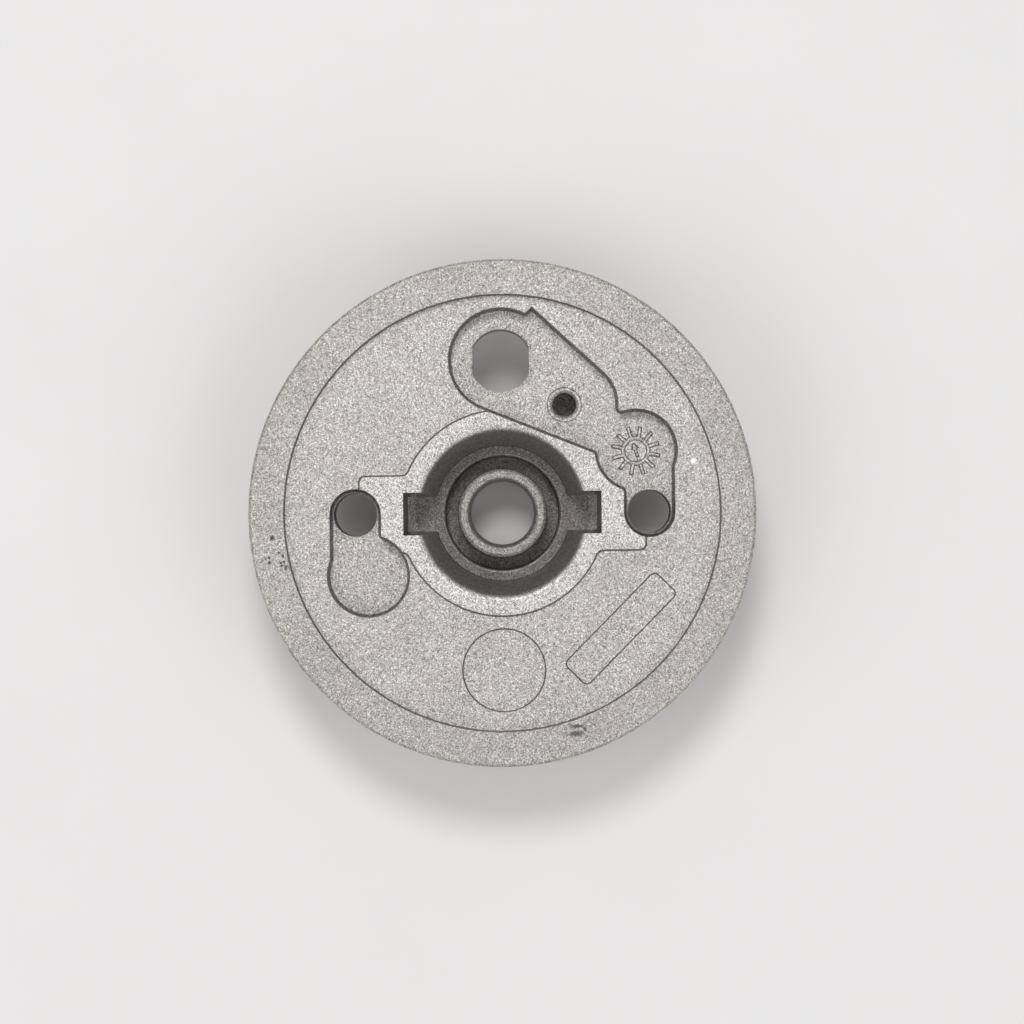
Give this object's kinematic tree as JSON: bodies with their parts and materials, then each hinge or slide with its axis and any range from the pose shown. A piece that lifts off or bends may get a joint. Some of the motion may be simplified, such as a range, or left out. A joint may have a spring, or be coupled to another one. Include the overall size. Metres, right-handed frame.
{
  "type": "gas burner base",
  "caption": "Round die-cast aluminium gas burner base, seen from its mounting side, with a central cup and mixing tube, screw holes and an electrode pocket",
  "frame": {"origin": "middle of the hub's end face, on the burner axis, where the part stands", "axes": "+Z is the burner axis and leaves the mounting side, +X runs through the two screw holes, +Y runs to the electrode hole"},
  "size_m": [0.062, 0.062, 0.015],
  "materials": {
    "cast_aluminium": "die cast and shot blasted, fine matt grain"
  },
  "bodies": {
    "root": {"burner_base": "cast_aluminium"}
  },
  "joints": []
}
